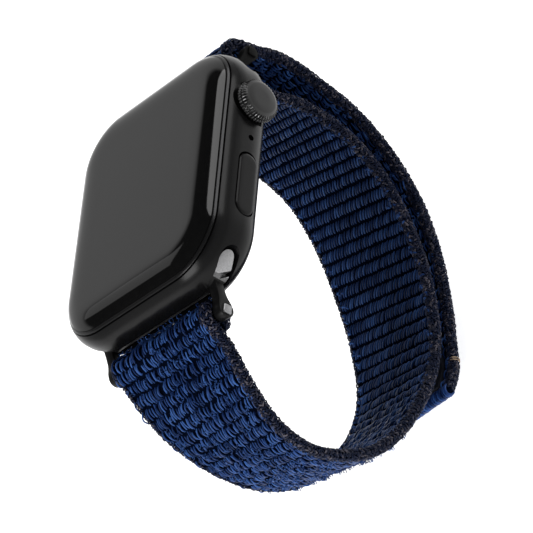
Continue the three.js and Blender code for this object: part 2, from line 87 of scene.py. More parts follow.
# The connectors: a filler in the slot, and an arm at each end of it that carries the bar.
FILLER = dict(half_length=2.2, radius=1.15, end_inset=0.4, bare_x=13.5, bevel=0.12)
NOTCH = dict(low=-1.12, high=-0.5, low_x=13.72, high_x=14.24, outer_x=17, reach=1.5)
ARM = dict(inner_x=11.8, outer_x=13.4, neck=0.72, eye=1.3, stud_half=0.75, stud_x=13.75)
LATCH = dict(hole_radius=0.55, hole_low=3.2, hole_high=6.15)
SPRINGS = {
    "release_spring": dict(radius=0.56, wire=0.06, low=2.35, high=2.95, turns=2.5, lower="release",
                           upper="case"),
    "latch_spring": dict(radius=0.31, wire=0.06, low=5.45, high=6.1, turns=3.5, lower="latch",
                         upper="band"),
}

HALF_WIDTH = 11.5     # from the band's middle to each edge
# The band's two edge lines, as [y, z], on the crown side and on the far side.
CROWN_LOOP = [[-28.6, -0.4], [-33, -4.6], [-37.4, -10.4], [-38.8, -17], [-36.9, -23.6], [-33.5, -29.3],
              [-28.7, -33.6], [-22.6, -37.1], [-15.5, -39.8], [-8.4, -40.8], [-0.4, -39.5], [6.4, -37],
              [13.8, -32.2], [19.8, -25.6], [22.9, -17.4], [23, -9.4], [21.4, -4]]
CROWN_TAIL = [[28.3, -0.6], [29.7, -4.6], [29.9, -9], [29.2, -14], [28.1, -20], [24.6, -27.6],
              [18.7, -34.5], [11.5, -39.2], [3, -42.3], [-5.6, -44.1], [-11, -44.9], [-16.4, -43.6]]
FAR_LOOP = [[-28.8, -0.6], [-31.3, -5], [-33, -11], [-33.4, -18], [-32.1, -25], [-28.6, -31.8],
            [-22.5, -38], [-15.5, -42.6], [-6.8, -44.3], [2.2, -42.1], [11.7, -37.3], [18.9, -32.3],
            [24.1, -26.2], [26.2, -19], [26.4, -11], [24.9, -4]]
FAR_TAIL = [[28.3, -0.8], [29.5, -5], [29.8, -10], [29.4, -16], [28.2, -22], [25.8, -28.2],
            [20.8, -34.6], [13.2, -40.2], [3.2, -45.2], [-6, -47.5], [-11.5, -47.2], [-15.9, -45.9]]

# The weave.
PITCH = 2.15          # from one rib to the next
WOVEN_HALF = 10.55    # half the width between the selvages
# The yarns of the two faces. A yarn leans across the band by slant on each side of its middle.
RIB = dict(gap=0.64, reach=0.45 * PITCH, crest=(0.44, 0.54), slant=0.6, half_width=(0.15, 0.19))
PILE = dict(gap=0.52, reach=(0.95, 1.3), crest=(0.4, 0.95), slant=-0.15, half_width=(0.105, 0.15))
# The ground weave under the yarns, with a rounded edge.
CORE = dict(half=0.5, edge_half=0.62, edge_centre=10.7, edge_bend=0.5, flat_half=9.9, step=0.43)
# The hook tape, whose lifts are negative because it is on the tail's inner face.
TAPE = dict(half=8.8, back=-0.5, front=-1.2, start_share=0.66, row_gap=0.85, column_gap=0.8)
FOLD_SWELL = 1.05     # the thick weave stands off the bar by this much more where it folds over
TAIL_TRIM = 1.4       # the woven tail stops this short of the CAD tail's end
# The selvage: a rounded edge whose bend starts at centre, with rows of stitches along it.
EDGE = dict(centre=10.75, bend=0.62, half=0.75, stitch=0.4, column=0.34)
FRAY = dict(at=58, reach=14, amount=2.2)      # where the weave is worn and least even


# ---- materials
LOOKS = {}


def new_material(name, colour, roughness, metallic=0.0, **sockets):
    """Puts a material into LOOKS, and gives its nodes, its links and its shader."""
    material = bpy.data.materials.new(name)
    material.use_nodes = True
    tree = material.node_tree
    shader = tree.nodes["Principled BSDF"]
    shader.inputs["Base Color"].default_value = (*colour, 1)
    shader.inputs["Roughness"].default_value = roughness
    shader.inputs["Metallic"].default_value = metallic
    for socket, value in sockets.items():
        shader.inputs[socket.replace("_", " ")].default_value = value
    LOOKS[name] = material
    return tree.nodes, tree.links, shader


def noise(nodes, links, scale, detail=2.0, stretch=(1, 1, 1)):
    """A noise texture in object space, with a scale per metre."""
    place = nodes.new("ShaderNodeTexCoord")
    mapping = nodes.new("ShaderNodeMapping")
    mapping.inputs["Scale"].default_value = stretch
    texture = nodes.new("ShaderNodeTexNoise")
    texture.inputs["Scale"].default_value = scale
    texture.inputs["Detail"].default_value = detail
    links.new(place.outputs["Object"], mapping.inputs["Vector"])
    links.new(mapping.outputs["Vector"], texture.inputs["Vector"])
    return texture.outputs["Fac"]


def ramp(nodes, links, factor, stops):
    """A colour ramp over (position, colour) stops."""
    node = nodes.new("ShaderNodeValToRGB")
    elements = node.color_ramp.elements
    while len(elements) < len(stops):
        elements.new(0.5)
    for element, (position, colour) in zip(elements, stops):
        element.position = position
        element.color = (*colour, 1)
    links.new(factor, node.inputs["Fac"])
    return node.outputs["Color"]


def multiply(nodes, links, first, second):
    node = nodes.new("ShaderNodeMix")
    node.data_type = "RGBA"
    node.blend_type = "MULTIPLY"
    node.inputs["Factor"].default_value = 1.0
    links.new(first, node.inputs["A"])
    links.new(second, node.inputs["B"])
    return node.outputs["Result"]


def bump(nodes, links, shader, height, strength, distance):
    node = nodes.new("ShaderNodeBump")
    node.inputs["Strength"].default_value = strength
    node.inputs["Distance"].default_value = distance
    links.new(height, node.inputs["Height"])
    links.new(node.outputs["Normal"], shader.inputs["Normal"])


def grained(name, dark, light, roughness, metallic, scale, stretch=(1, 1, 1), height=0.00001, **sockets):
    """A material with a fine grain in its colour, roughness and height."""
    nodes, links, shader = new_material(name, light, roughness, metallic, **sockets)
    grain = noise(nodes, links, scale, 4.0, stretch)
    links.new(ramp(nodes, links, grain, [(0.3, dark), (0.7, light)]), shader.inputs["Base Color"])
    spread = nodes.new("ShaderNodeMapRange")
    spread.inputs["To Min"].default_value = roughness * 0.85
    spread.inputs["To Max"].default_value = roughness * 1.15
    links.new(grain, spread.inputs["Value"])
    links.new(spread.outputs["Result"], shader.inputs["Roughness"])
    bump(nodes, links, shader, grain, 0.25, height)


def yarn_material(name, stops, roughness):
    """Yarn whose shade differs from strand to strand, with a cloudy fade over the band."""
    nodes, links, shader = new_material(name, stops[0][1], roughness, Specular_IOR_Level=0.35)
    shader.inputs["Specular Tint"].default_value = (0.25, 0.45, 1, 1)
    strand = nodes.new("ShaderNodeNewGeometry").outputs["Random Per Island"]
    clouds = ramp(nodes, links, noise(nodes, links, 260), [(0.3, (0.7, 0.7, 0.72)), (0.7, (1, 1, 1))])
    shades = ramp(nodes, links, strand, stops)
    links.new(multiply(nodes, links, shades, clouds), shader.inputs["Base Color"])
    bump(nodes, links, shader, noise(nodes, links, 9000, 2.0, (1, 0.35, 0.35)), 0.5, 0.00004)


def make_looks():
    navy = [(0.0, (0.005, 0.014, 0.055)), (0.5, (0.011, 0.030, 0.105)), (1.0, (0.03, 0.075, 0.22))]
    pile = [(0.0, (0.005, 0.015, 0.065)), (0.45, (0.016, 0.046, 0.17)), (1.0, (0.045, 0.12, 0.36))]
    selvage = [(0.0, (0.003, 0.003, 0.008)), (0.5, (0.012, 0.012, 0.024)), (0.8, (0.035, 0.032, 0.040)),
               (1.0, (0.13, 0.115, 0.125))]
    yarn_material("rib_yarn", navy, 0.36)
    yarn_material("pile_yarn", pile, 0.36)
    yarn_material("selvage_yarn", selvage, 0.6)
    # Near-black ground weave, darker than any yarn: painted shade in the gaps between the yarns.
    grained("ground_weave", (0.0006, 0.001, 0.003), (0.002, 0.004, 0.012), 0.9, 0.0, 3000,
            height=0.0001, Specular_IOR_Level=0.0)
    grained("hook_tape", (0.003, 0.004, 0.008), (0.01, 0.012, 0.02), 0.55, 0.0, 1800)
    grained("tan_thread", (0.22, 0.15, 0.09), (0.45, 0.33, 0.22), 0.7, 0.0, 4000)
    grained("case_metal", (0.002, 0.002, 0.0022), (0.004, 0.004, 0.0042), 0.24, 0.0, 14000,
            Specular_IOR_Level=0.15)
    grained("crown_face", (0.012, 0.012, 0.0122), (0.017, 0.017, 0.0172), 0.4, 0.0, 9000,
            Specular_IOR_Level=0.3)
    grained("crown_metal", (0.006, 0.006, 0.0062), (0.012, 0.012, 0.0122), 0.3, 0.0, 9000)
    # The crests of the crown's teeth: lighter and more metallic than the crown metal, a painted highlight
    # for the glints on the knurl.
    grained("crown_teeth_painted_glint", (0.10, 0.10, 0.101), (0.16, 0.16, 0.162), 0.25, 0.6, 9000)
    grained("bezel_metal", (0.03, 0.03, 0.031), (0.045, 0.045, 0.046), 0.22, 0.8, 9000)
    grained("connector_metal", (0.003, 0.003, 0.0032), (0.006, 0.006, 0.0063), 0.34, 0.0, 12000,
            Specular_IOR_Level=0.15)
    grained("bare_metal", (0.20, 0.20, 0.205), (0.34, 0.34, 0.345), 0.34, 1.0, 5000, (0.1, 1, 3))
    # Darker, rougher bare metal for the connectors' notches: painted shade in those recesses.
    grained("notch_painted_shade", (0.10, 0.10, 0.102), (0.15, 0.15, 0.152), 0.45, 0.9, 5000)
    grained("cover_glass", (0.0035, 0.0035, 0.0036), (0.0045, 0.0045, 0.0046), 0.07, 0.0, 900,
            height=0.000001)
    grained("back_glass", (0.004, 0.004, 0.0045), (0.006, 0.006, 0.0065), 0.08, 0.0, 900,
            height=0.000001)
    # Near-black: the display panel's own colour, and painted shade on the upper connector's body and its bar
    # studs, which are the same metal as the lower ones.
    grained("seam_black", (0.0015, 0.0015, 0.0016), (0.003, 0.003, 0.0032), 0.6, 0.0, 9000,
            Specular_IOR_Level=0.08)
    grained("steel", (0.30, 0.30, 0.31), (0.45, 0.45, 0.46), 0.35, 1.0, 6000, (1, 1, 8))
    grained("copper", (0.42, 0.20, 0.10), (0.62, 0.33, 0.19), 0.35, 1.0, 7000, (8, 1, 1))
    grained("board", (0.004, 0.03, 0.015), (0.01, 0.06, 0.03), 0.45, 0.0, 2500)
    grained("foil", (0.04, 0.04, 0.045), (0.07, 0.07, 0.075), 0.4, 0.1, 1500)
    grained("plastic", (0.010, 0.010, 0.011), (0.018, 0.018, 0.02), 0.55, 0.0, 8000)
    grained("rubber", (0.006, 0.006, 0.006), (0.012, 0.012, 0.012), 0.8, 0.0, 6000)


make_looks()


# ---- meshes
def add_piece(name, points, faces, look):
    """A smooth-shaded object from points in millimetres; faces are lists, or one array of quads."""
    mesh = bpy.data.meshes.new(name)
    if isinstance(faces, np.ndarray):
        mesh.vertices.add(len(points))
        mesh.vertices.foreach_set("co", (points * MM).astype(np.float32).ravel())
        mesh.loops.add(faces.size)
        mesh.loops.foreach_set("vertex_index", faces.astype(np.int32).ravel())
        mesh.polygons.add(len(faces))
        mesh.polygons.foreach_set("loop_start", np.arange(0, faces.size, 4, dtype=np.int32))
        mesh.update(calc_edges=True)
    else:
        mesh.from_pydata((np.asarray(points, float) * MM).tolist(), [], faces)
    mesh.polygons.foreach_set("use_smooth", [True] * len(mesh.polygons))
    piece = bpy.data.objects.new(name, mesh)
    bpy.context.scene.collection.objects.link(piece)
    mesh.materials.append(LOOKS[look])
    return piece


def loft(rings, ring_shaped=False):
    """Points and faces of a skin over equal rings, which run up with anticlockwise points. It is
    capped at both ends, or a ring-shaped one runs from its last ring back to its first."""
    size = len(rings[0])
    following = [(k + 1) % size for k in range(size)]
    faces = []
    for level in range(len(rings) if ring_shaped else len(rings) - 1):
        low, high = level * size, (level + 1) % len(rings) * size
        faces += [[low + k, low + following[k], high + following[k], high + k] for k in range(size)]
    if not ring_shaped:
        last = (len(rings) - 1) * size
        faces += [list(range(size))[::-1], [last + k for k in range(size)]]
    return np.concatenate([np.asarray(ring, float) for ring in rings]), faces


def sharpen(piece, degrees=35):
    """Keeps a smooth-shaded piece's real edges sharp."""
    piece.data.set_sharp_from_angle(angle=math.radians(degrees))
    return piece


def bake_modifiers(piece):
    """Applies the piece's modifiers to its mesh."""
    evaluated = piece.evaluated_get(bpy.context.evaluated_depsgraph_get())
    mesh = bpy.data.meshes.new_from_object(evaluated)
    piece.modifiers.clear()
    piece.data = mesh
    return piece


def carve(piece, cutters, operation="DIFFERENCE"):
    """Cuts the cutters out of the piece, joins them to it or keeps what they share with it, and
    throws them away."""
    for cutter in cutters:
        modifier = piece.modifiers.new("cut", "BOOLEAN")
        modifier.object = cutter
        modifier.operation = operation
        modifier.solver = "EXACT"
    bpy.context.view_layer.update()
    bake_modifiers(piece)
    for cutter in cutters:
        bpy.data.objects.remove(cutter)
    return piece


def along_x(points):
    """Turns points drawn as (y, z, x) into (x, y, z)."""
    return np.asarray(points, float)[:, [2, 0, 1]]


def circle(radius, count=48):
    angles = np.arange(count) * 2 * math.pi / count
    return np.stack([radius * np.cos(angles), radius * np.sin(angles)], -1)


def stadium(half_length, half_width, count=24):
    """A slot outline with round ends, anticlockwise, long along the first axis."""
    straight = half_length - half_width
    right = np.linspace(-math.pi / 2, math.pi / 2, count)
    ends = [(straight, right), (-straight, right + math.pi)]
    return np.concatenate([np.stack([shift + half_width * np.cos(a), half_width * np.sin(a)], -1)
                           for shift, a in ends])


def corner_arcs(centre_x, centre_y, radius, count):
    """Quarter circles round the four places (+-centre_x, +-centre_y), anticlockwise."""
    arcs = []
    for quarter, (sign_x, sign_y) in enumerate([(1, 1), (-1, 1), (-1, -1), (1, -1)]):
        angles = (quarter + np.linspace(0, 1, count)) * math.pi / 2
        arcs.append(np.stack([sign_x * centre_x + radius * np.cos(angles),
                              sign_y * centre_y + radius * np.sin(angles)], -1))
    return arcs


def rounded(half_x, half_y, radius):
    """A rectangle with round corners, anticlockwise."""
    return np.concatenate(corner_arcs(half_x - radius, half_y - radius, radius, 10))


def at_height(outline, z):
    return np.column_stack([outline, np.full(len(outline), float(z))])


def prism(name, outline, low, high, turn=np.asarray):
    """A straight solid over an outline from low to high, moved by turn."""
    points, faces = loft([at_height(outline, low), at_height(outline, high)])
    return add_piece(name, turn(points), faces, "case_metal")


# ---- the case
def pebble_inset(z):
    """How far in the case's rounded side is at a height."""
    beyond = max(CASE["wall_low"] - z, z - CASE["wall_high"], 0)
    return CASE["edge"] - math.sqrt(CASE["edge"] ** 2 - beyond ** 2)


def case_outline(inset, corner_steps=20, side_steps=14):
    """The rounded outline of the case, inset, with even points on its straight sides."""
    corners = corner_arcs(CASE["half_x"] - CASE["corner"], CASE["half_y"] - CASE["corner"],
                          CASE["corner"] - inset, corner_steps)
    share = np.linspace(0, 1, side_steps + 1)[1:-1, None]
    outline = []
    for k, corner in enumerate(corners):
        following = corners[(k + 1) % 4][0]
        outline += [corner, corner[-1] * (1 - share) + following * share]
    return np.concatenate(outline)


def pebble_ring(z, inset=None):
    return at_height(case_outline(pebble_inset(z) if inset is None else inset), z)


def arc_levels(start, sign, reach, count):
    """Heights spaced evenly round the case's rounded edge, from the wall at start."""
    turn = math.asin(min(reach / CASE["edge"], 1))
    return [start + sign * CASE["edge"] * math.sin(turn * k / count) for k in range(count + 1)]


def in_slot(points):
    """Lays points (x, y, z), drawn with the slot's long axis along Y, into the lower slot."""
    turn = math.radians(SLOT["tilt"])
    x, y, z = np.asarray(points, float).T
    return np.column_stack([x, -SLOT["y"] + y * math.cos(turn) - z * math.sin(turn),
                            SLOT["z"] + y * math.sin(turn) + z * math.cos(turn)])


def half_turn(points):
    """Turns points from the lower end of the watch to the upper end."""
    return np.asarray(points) * [-1, -1, 1]


def flare_cutters(place, end):
    near = stadium(SLOT["half_length"], SLOT["radius"])
    far = stadium(FLARE["half_length"], FLARE["radius"]) - [0, FLARE["drop"]]
    cutters = []
    for sign in (1, -1):
        rings = [at_height(near, FLARE["start_x"] * sign), at_height(far, FLARE["end_x"] * sign)][::sign]
        skin = loft([place(in_slot(along_x(ring))) for ring in rings])
        cutters.append(add_piece(f"flare_{end}", *skin, "case_metal"))
    return cutters


def slot_cutters(place, end):
    """One end's band slot with its mouth, and the release button's pocket and stem hole."""
    def slanted(points):
        return place(in_slot(along_x(points)))

    def upright(points):
        return place(points + [0, -RELEASE["y"], 0])
    near, far, half, reach = SLOT["mouth_near"], SLOT["mouth_far"], SLOT["mouth"], SLOT["reach"]
    mouth = np.array([[far, -half], [near, -half], [near, half], [far, half]])
    pocket = stadium(RELEASE["half_length"], RELEASE["half_width"])
    return flare_cutters(place, end) + [
        prism(f"slot_{end}", stadium(SLOT["half_length"], SLOT["radius"]), -reach, reach, slanted),
        prism(f"mouth_{end}", mouth, -reach, reach, slanted),
        prism(f"pocket_{end}", pocket, 0, RELEASE["roof_z"], upright),
        prism(f"stem_{end}", circle(RELEASE["stem_radius"]), RELEASE["stem_z"], SLOT["z"], upright),
    ]


def side_cutters():
    """The holes for the crown, the side button, the microphone and the speaker."""
    def side(y):
        return lambda points: along_x(points) + [0, y, SIDE_Z]
    inner, outer = HOLES["inner_x"], HOLES["outer_x"]
    pocket = stadium(BUTTON["half_length"] + BUTTON["gap"], BUTTON["half_width"] + BUTTON["gap"])
    cutters = [
        prism("crown_recess", circle(HOLES["recess"], 96), HOLES["recess_x"], outer, side(CROWN["y"])),
        prism("crown_bore", circle(HOLES["crown_bore"]), inner, CROWN["base_x"], side(CROWN["y"])),
        prism("button_pocket", pocket, BUTTON["pocket_x"], outer, side(BUTTON["y"])),
        prism("button_bore", circle(HOLES["button_bore"]), inner, BUTTON["bore_x"], side(BUTTON["y"])),
        prism("microphone_hole", circle(HOLES["microphone"]), inner, outer, side(HOLES["microphone_y"])),
    ]
    opening = stadium(SPEAKER["half_length"], SPEAKER["radius"])
    for number, y in enumerate(SPEAKER["places_y"]):
        cutters.append(prism(f"speaker_slot_{number}", opening, -outer, -inner, side(y)))
    return cutters


def make_case():
    low = arc_levels(CASE["wall_low"], -1, CASE["wall_low"] - CASE["low_z"], 14)[::-1]
    high = arc_levels(CASE["wall_high"], 1, CASE["top_z"] - CASE["wall_high"], 9)
    case = add_piece("case_shell", *loft([pebble_ring(z) for z in low + high]), "case_metal")
    cavity = rounded(CAVITY["half_x"], CAVITY["half_y"], CAVITY["corner"])
    back = rounded(BACK_OPENING["half"], BACK_OPENING["half"], BACK_OPENING["corner"])
    ledge = loft([pebble_ring(z, LEDGE["inset"]) for z in (LEDGE["z"], CLEAR_Z)])
    cutters = [
        prism("cavity", cavity, CAVITY["floor_z"], CLEAR_Z),
        prism("back_opening", back, 0, BACK_OPENING["top_z"]),
        add_piece("ledge", *ledge, "case_metal"),
    ]
    carve(case, cutters + side_cutters() + slot_cutters(np.asarray, "a") + slot_cutters(half_turn, "b"))
    sharpen(case, 32)
    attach(case, "case")
    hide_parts("case_body")


def make_bezel():
    """A flat ring between the case and the glass, bevelled a little on its outer edges."""
    outer = [pebble_ring(z, pebble_inset(z) + chamfer) for z, chamfer in
             ((9.6, 0.1), (9.68, 0.0), (9.92, 0.0), (10.0, 0.1))]
    inner = [pebble_ring(z, 3.2) for z in (10.0, 9.6)]
    bezel = sharpen(add_piece("bezel_band", *loft(outer + inner, ring_shaped=True), "bezel_metal"))
    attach(bezel, "case")
    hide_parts("bezel_ring")


def make_crystal():
    """The cover glass bends down to the bezel and is nearly flat over the display."""
    edge = [(pebble_inset(z), z) for z in (10.15, 10.5, 10.85, 11.1)]
    top = [(3.7, 11.27), (4.4, 11.39), (5.2, 11.45), (6.2, 11.475), (8.9, 11.48)]
    profile = smooth_line(edge + top, 36)
    rings = [pebble_ring(z, inset) for inset, z in profile]
    glass = sharpen(add_piece("cover_glass", *loft(rings), "cover_glass"), 60)
    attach(glass, "case")
    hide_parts("crystal")


# ---- crown and side button
def make_crown():
    """Two rows of fine teeth with a groove between them, and a flat face inside a chamfer."""
    y, base, end = CROWN["y"], CROWN["base_x"], CROWN["face_x"]
    # Each row is a radius, a place along X and the share of the teeth's depth that it takes.
    inner_teeth = [(3.1, base, 0), (3.24, base + 0.1, 0.5), (3.34, base + 0.25, 1), (3.34, base + 0.55, 1),
                   (3.24, base + 0.72, 0.8), (3.1, base + 0.78, 0)]
    outer_teeth = [(3.1, base + 0.9, 0), (3.26, base + 0.96, 0.9), (3.34, base + 1.1, 1),
                   (3.32, base + 1.3, 1), (3.2, base + 1.55, 1), (3.06, base + 1.7, 0.3)]
    rim = [(2.98, end - 0.14, 0), (2.8, end - 0.05, 0), (2.66, end - 0.03, 0), (2.6, end, 0), (1.2, end, 0)]
    count = CROWN["teeth"] * 8
    turn = np.arange(count) * 2 * math.pi / count
    tooth = np.clip(1.4 * np.cos(turn * CROWN["teeth"]) - 0.2, -1, 1) * CROWN["tooth_depth"]
    rings = []
    for radius, x, share in inner_teeth + outer_teeth + rim:
        r = radius + tooth * share
        rings.append(np.stack([np.full(count, x), y + r * np.cos(turn), SIDE_Z + r * np.sin(turn)], -1))
    knob = sharpen(add_piece("crown_knurled", *loft(rings), "crown_metal"), 30)
    knob.data.materials.append(LOOKS["crown_face"])
    knob.data.materials.append(LOOKS["crown_teeth_painted_glint"])
    # Crests get the lighter teeth material, a painted highlight on the knurl; the flat face gets its own
    # material, and the rest keeps the dark crown metal.
    for face in knob.data.polygons:
        reach = math.hypot(face.center.y - y * MM, face.center.z - SIDE_Z * MM)
        on_flat = face.normal.x > 0.9 and reach < CROWN["flat_radius"] * MM
        on_crest = reach > CROWN["crest_radius"] * MM
        face.material_index = 1 if on_flat else 2 if on_crest else 0
    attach(knob, "crown")
    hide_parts("crown_knob")


def make_side_button():
    low, face = BUTTON["low_x"], BUTTON["face_x"]
    rows = [(0.0, low), (0.0, face - 0.45), (0.05, face - 0.25), (0.16, face - 0.1), (0.34, face - 0.02),
            (0.6, face), (1.2, face)]
    rings = []
    for inset, x in rows:
        outline = stadium(BUTTON["half_length"] - inset, BUTTON["half_width"] - inset, 28)
        rings.append(along_x(at_height(outline, x)) + [0, BUTTON["y"], SIDE_Z])
    cap = sharpen(add_piece("side_button", *loft(rings), "case_metal"), 50)
    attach(cap, "side_button")
    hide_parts("side_button_cap")


# ---- connectors
def arm_outline():
    """In the slot's frame: thin where the arm leaves the mouth, and wide at the bar."""
    reach = math.hypot(BAR_Y - SLOT["y"], BAR_Z - SLOT["z"])
    edge = smooth_line([[-reach, ARM["eye"]], [-5.1, 1.2], [-4.1, 0.85], [-3.2, ARM["neck"]],
                        [-1, ARM["neck"]]], 16)
    return np.concatenate([edge[::-1], edge * [1, -1]])


def make_filler(end, place):
    """The part in the slot. It ends short of the case's outline, and is notched at both ends."""
    reach = CASE["half_x"]
    outline = stadium(FILLER["half_length"], FILLER["radius"])
    filler = prism(f"{end}_connector_body", outline, -reach, reach, lambda p: place(in_slot(along_x(p))))
    ends = loft([place(pebble_ring(z, FILLER["end_inset"])) for z in (0, CASE["top_z"])])
    carve(filler, [add_piece("ends", *ends, "connector_metal")], "INTERSECT")
    low, high, outer = NOTCH["low"], NOTCH["high"], NOTCH["outer_x"]
    notch = np.array([[NOTCH["low_x"], low], [outer, low], [outer, high], [NOTCH["high_x"], high]])
    notches = [prism("notch", side, -NOTCH["reach"], NOTCH["reach"], lambda p: place(in_slot(p)))
               for side in (notch, notch[::-1] * [-1, 1])]
    return carve(filler, notches)


def add_arms(filler, place):
    """An arm at each end, with a round eye for the bar."""
    arms = []
    eye = circle(ARM["eye"]) + [-BAR_Y, BAR_Z]
    for low_x, high_x in ((ARM["inner_x"], ARM["outer_x"]), (-ARM["outer_x"], -ARM["inner_x"])):
        arms.append(prism("arm", arm_outline(), low_x, high_x, lambda p: place(in_slot(along_x(p)))))
        arms.append(prism("eye", eye, low_x, high_x, lambda p: place(along_x(p))))
    carve(filler, arms, "UNION")


def bevel_edges(piece, width):
    bevel = piece.modifiers.new("edges", "BEVEL")
    bevel.width = width * MM
    bevel.segments = 2
    bevel.limit_method = "ANGLE"
    bpy.context.view_layer.update()
    bake_modifiers(piece)


def colour_connector(filler, look):
    """Past the arms the metal is bare, and in the notches it is painted darker, as shade."""
    filler.data.materials.clear()
    for name in (look, "bare_metal", "notch_painted_shade"):
        filler.data.materials.append(LOOKS[name])
    turn = math.radians(SLOT["tilt"])
    for face in filler.data.polygons:
        up_slot = ((abs(face.center.y) - SLOT["y"] * MM) * -math.cos(turn)
                   + (face.center.z - SLOT["z"] * MM) * math.sin(turn))
        in_notch = NOTCH["low"] * MM < up_slot < (NOTCH["high"] + 0.02) * MM
        if abs(face.center.x) > FILLER["bare_x"] * MM:
            face.material_index = 2 if in_notch else 1


def make_connector(end, place, look, stud_look):
    filler = make_filler(end, place)
    add_arms(filler, place)
    hole = prism("latch_hole", circle(LATCH["hole_radius"]), LATCH["hole_low"], LATCH["hole_high"],
                 lambda p: place(p + [0, -RELEASE["y"], 0]))
    carve(filler, [hole])
    bevel_edges(filler, FILLER["bevel"])
    colour_connector(filler, look)
    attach(sharpen(filler), f"{end}_band")
    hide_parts(f"{end}_connector")
    make_studs(end, place, stud_look)


def make_studs(end, place, look):
    """The flat-sided ends of the bar's screws, which stand a little proud of the arms."""
    half, stud_x = ARM["stud_half"], ARM["stud_x"]
    # Each row is a corner radius, a place along X and an inset.
    rows = [(0.25, ARM["outer_x"] - 1, 0), (0.25, stud_x - 0.12, 0), (0.2, stud_x - 0.04, 0.06),
            (0.15, stud_x, 0.14)]
    for letter, sign in (("a", 1), ("b", -1)):
        rings = []
        for radius, x, inset in rows[::sign]:
            ring = at_height(rounded(half - inset, half - inset, radius), sign * x)
            rings.append(place(along_x(ring) + [0, -BAR_Y, BAR_Z]))
        stud = sharpen(add_piece(f"{end}_bar_stud_{letter}", *loft(rings), look))
        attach(stud, f"{end}_band")
        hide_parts(f"{end}_bar_screw_{letter}")


# ---- springs
def make_springs(end, place):
    """The coils over the release button and over the latch."""
    for name, spring in SPRINGS.items():
        turn = np.linspace(0, spring["turns"] * 2 * math.pi, round(spring["turns"] * 20) + 1)
        rise = np.linspace(spring["low"] + spring["wire"], spring["high"] - spring["wire"], len(turn))
        round_x, round_y = spring["radius"] * np.cos(turn), spring["radius"] * np.sin(turn)
        path = np.column_stack([round_x, round_y - RELEASE["y"], rise])
        points, quads = tubes(place(path)[None], spring["wire"], spring["wire"], np.array([0.0, 0.0, 1.0]))
        coil = add_piece(f"{end}_{name}_coil", points, quads, "steel")
        low, high = (place(np.array([0, -RELEASE["y"], z])) * MM for z in (spring["low"], spring["high"]))
        tuple(low)
        tuple(high)
        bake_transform(coil)
        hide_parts(f"{end}_{name}")


# ---- the band's surface
def smooth_line(points, steps):
    """A centripetal Catmull-Rom line through the points, in even steps of length."""
    points = np.asarray(points, float)
    padded = np.concatenate([[2 * points[0] - points[1]], points, [2 * points[-1] - points[-2]]])
    fine = []
    for a, b, c, d in zip(padded[:-3], padded[1:-2], padded[2:-1], padded[3:]):
        gaps = [max(np.linalg.norm(q - p) ** 0.5, 1e-6) for p, q in ((a, b), (b, c), (c, d))]
        leave = ((b - a) / gaps[0] - (c - a) / (gaps[0] + gaps[1]) + (c - b) / gaps[1]) * gaps[1]
        arrive = ((c - b) / gaps[1] - (d - b) / (gaps[1] + gaps[2]) + (d - c) / gaps[2]) * gaps[1]
        t = np.linspace(0, 1, 40, endpoint=False)[:, None]
        fine.append(b + leave * t + (3 * (c - b) - 2 * leave - arrive) * t ** 2
                    + (2 * (b - c) + leave + arrive) * t ** 3)
    fine = np.concatenate(fine + [points[-1:]])
    length = np.concatenate([[0], np.cumsum(np.linalg.norm(np.diff(fine, axis=0), axis=1))])
    even = np.linspace(0, length[-1], steps + 1)
    return np.stack([np.interp(even, length, fine[:, k]) for k in range(fine.shape[1])], -1)


def wrap_point(centre_y, degrees):
    """Where the band's middle line is, round a bar."""
    angle = np.radians(degrees)
    return np.stack([centre_y + WRAP_RADIUS * np.cos(angle), BAR_Z + WRAP_RADIUS * np.sin(angle)], -1)


def edge_line(loop, tail):
    """One edge of the band from the eye's sewn end to the tail's end, and where its stretches start."""
    eye = wrap_point(-BAR_Y, np.linspace(-135, 180, 64)[:-1])
    body = smooth_line([wrap_point(-BAR_Y, 180), *loop, wrap_point(BAR_Y, 180)], 640)
    fold = wrap_point(BAR_Y, np.linspace(180, 0, 37)[1:-1])
    hanging = smooth_line([wrap_point(BAR_Y, 0), *tail], 448)
    along = (hanging[-1] - hanging[-2]) / np.linalg.norm(hanging[-1] - hanging[-2])
    beyond = hanging[-1] + along * np.linspace(0.25, 2.5, 10)[:, None]
    counts = np.cumsum([len(eye), len(body), len(fold), len(hanging)])
    return np.concatenate([eye, body, fold, hanging, beyond]), counts


def normals_of(line):
    along = np.gradient(line, axis=0)
    along /= np.linalg.norm(along, axis=1, keepdims=True)
    return np.stack([-along[:, 1], along[:, 0]], -1)


class Band:
    """The ruled surface between the two edge lines. Lift is towards the wrist on the loop, and
    away from it on the tail; across runs from the far side to the crown side."""

    def __init__(self):
        self.crown, counts = edge_line(CROWN_LOOP, CROWN_TAIL)
        self.far, _ = edge_line(FAR_LOOP, FAR_TAIL)
        self.crown_normal, self.far_normal = normals_of(self.crown), normals_of(self.far)
        middle = (self.crown + self.far) / 2
        steps = np.linalg.norm(np.diff(middle, axis=0), axis=1)
        self.s = np.concatenate([[0], np.cumsum(steps)])
        self.fold_start, self.fold_end = self.s[counts[1] - 1], self.s[counts[2]]
        self.tail_end = self.s[counts[3] - 1]

    def place(self, s, across, lift):
        s, across, lift = np.broadcast_arrays(s, across, lift)
        share = (across[..., None] / HALF_WIDTH + 1) / 2

        def between(far, crown):
            at_far, at_crown = (np.stack([np.interp(s, self.s, line[:, k]) for k in (0, 1)], -1)
                                for line in (far, crown))
            return at_far * (1 - share) + at_crown * share
        base = between(self.far, self.crown)
        normal = between(self.far_normal, self.crown_normal)
        normal /= np.linalg.norm(normal, axis=-1, keepdims=True)
        swell = np.interp(s, [self.fold_start, self.fold_start + 2.5, self.fold_end, self.fold_end + 4],
                          [0, FOLD_SWELL, FOLD_SWELL, 0])
        return np.concatenate([across[..., None], base + normal * (lift + swell)[..., None]], -1)


BAND = Band()


